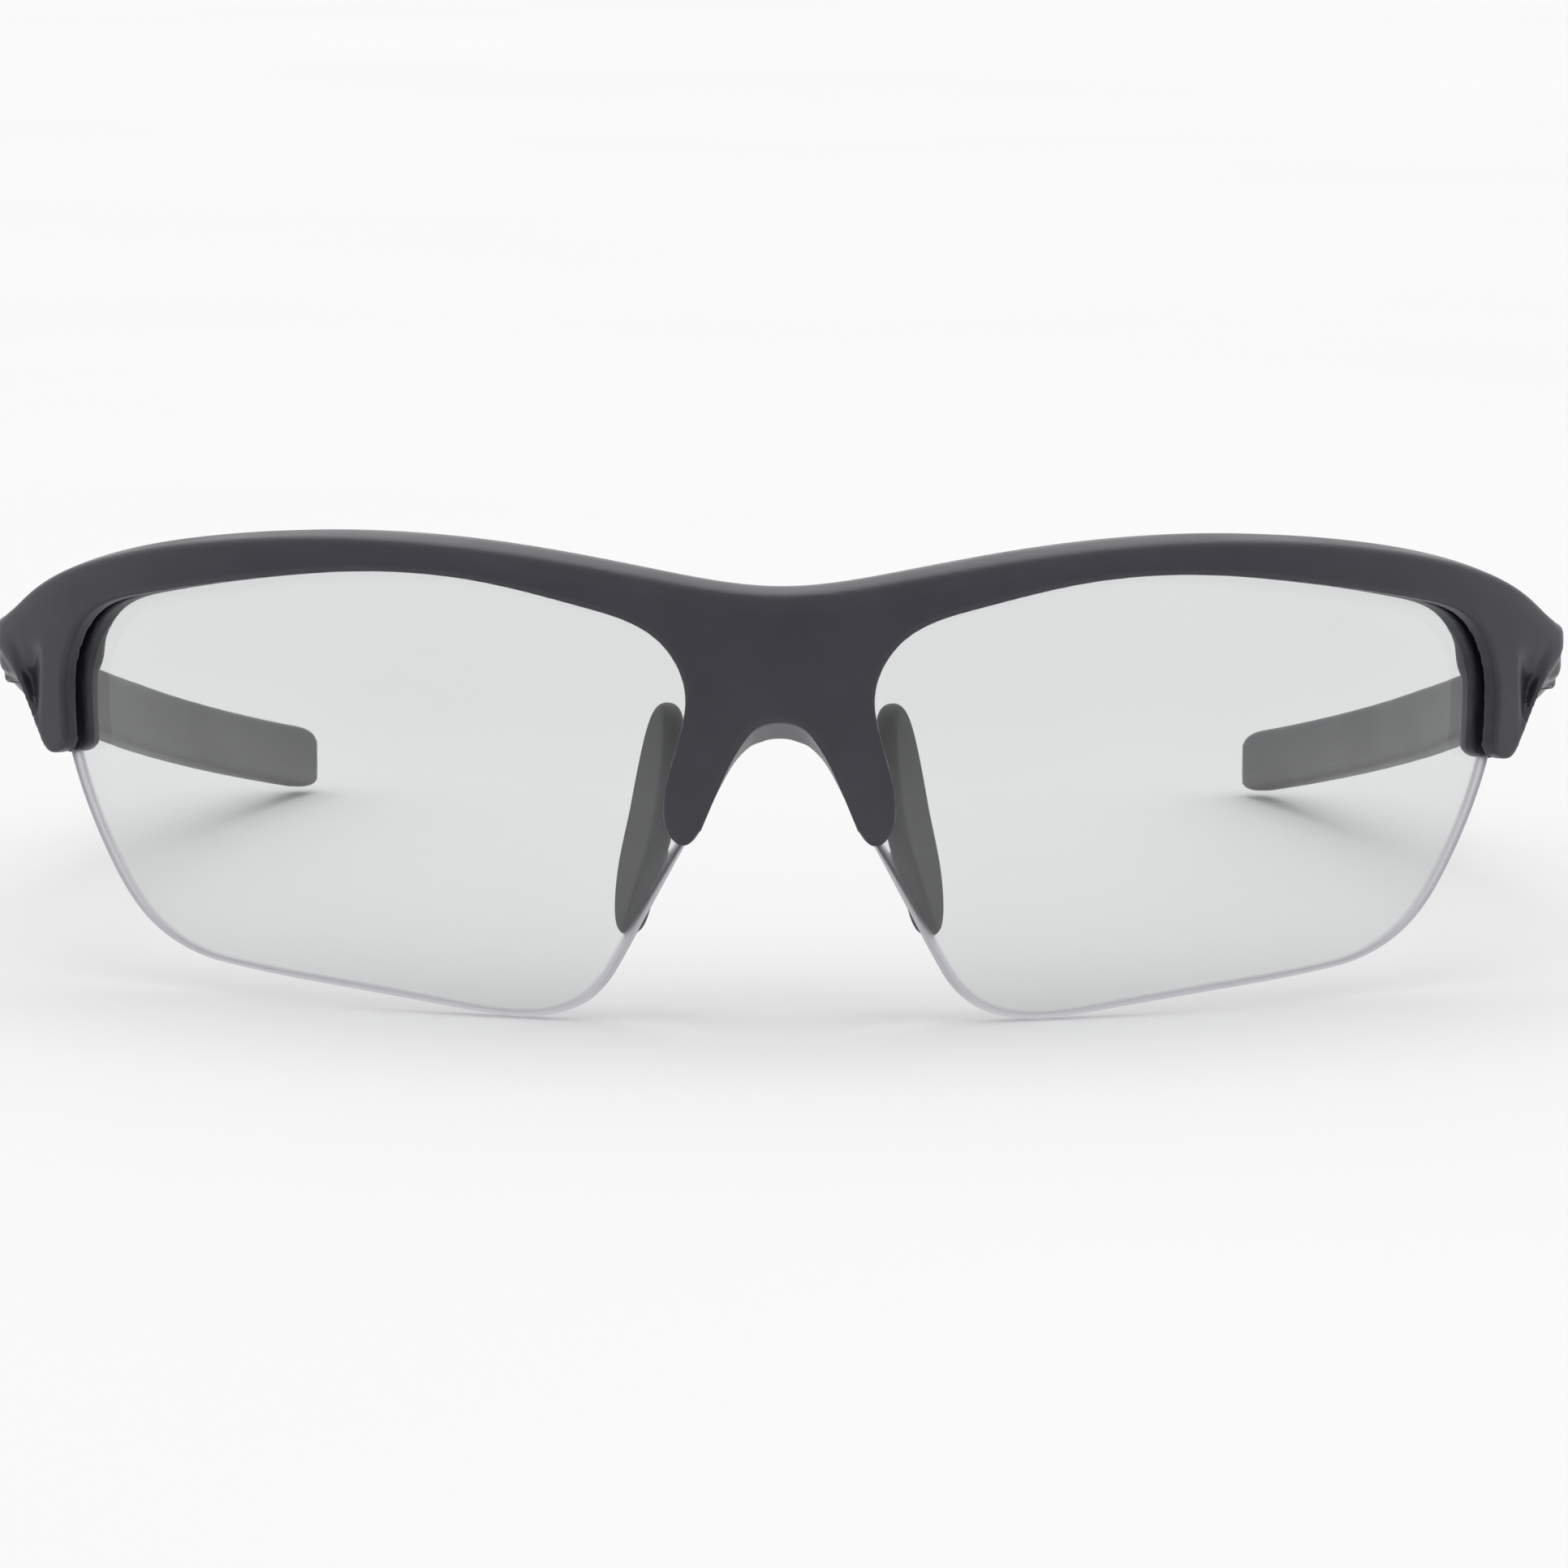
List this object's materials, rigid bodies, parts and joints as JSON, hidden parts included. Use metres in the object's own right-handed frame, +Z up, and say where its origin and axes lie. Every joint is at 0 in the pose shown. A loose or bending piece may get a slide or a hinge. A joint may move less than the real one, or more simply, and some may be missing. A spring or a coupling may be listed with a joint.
{
  "type": "wraparound sport sunglasses",
  "caption": "Half-rim wraparound sport glasses with clear grey lenses in a matt dark frame, soft nose pads and folding temples.",
  "frame": {"origin": "on the surface the glasses stand on, under the middle of their overall box; they stand on the two lens bottoms and the two temple tips with the temples open", "axes": "+Y from the lenses back towards the temple tips (the front of the glasses faces -Y), +Z up, +X towards the wearer's left"},
  "size_m": [0.1396, 0.1453, 0.0413],
  "materials": {
    "frame_plastic": "satin, slightly blue charcoal",
    "lens_clear": "polished, see-through, faint neutral grey tint",
    "grip_rubber": "soft matt",
    "pad_rubber": "soft matt",
    "spring_steel": "drawn wire",
    "screw_steel": "machined",
    "nut_steel": "blackened"
  },
  "bodies": {
    "front": {"front_frame": "frame_plastic", "lens_left": "lens_clear", "lens_right": "lens_clear", "hinge_screw_left": "screw_steel", "hinge_screw_right": "screw_steel", "hinge_nut_left": "nut_steel", "hinge_nut_right": "nut_steel", "nose_pad_left": "pad_rubber", "nose_pad_right": "pad_rubber", "nose_pad_core_left": "spring_steel", "nose_pad_core_right": "spring_steel"},
    "temple_arm_left": {"temple_left": "frame_plastic", "ear_grip_left": "grip_rubber", "temple_core_left": "spring_steel"},
    "temple_arm_right": {"temple_right": "frame_plastic", "ear_grip_right": "grip_rubber", "temple_core_right": "spring_steel"}
  },
  "joints": [
    {"name": "temple_fold_left", "type": "hinge", "parent": "front", "child": "temple_arm_left", "pos_m": [0.0676, -0.0329, 0.02725], "axis": [0, 0.2588, 0.9659], "range_deg": [0, 83]},
    {"name": "temple_fold_right", "type": "hinge", "parent": "front", "child": "temple_arm_right", "pos_m": [-0.0676, -0.0329, 0.02725], "axis": [0, -0.2588, -0.9659], "range_deg": [0, 76]}
  ]
}
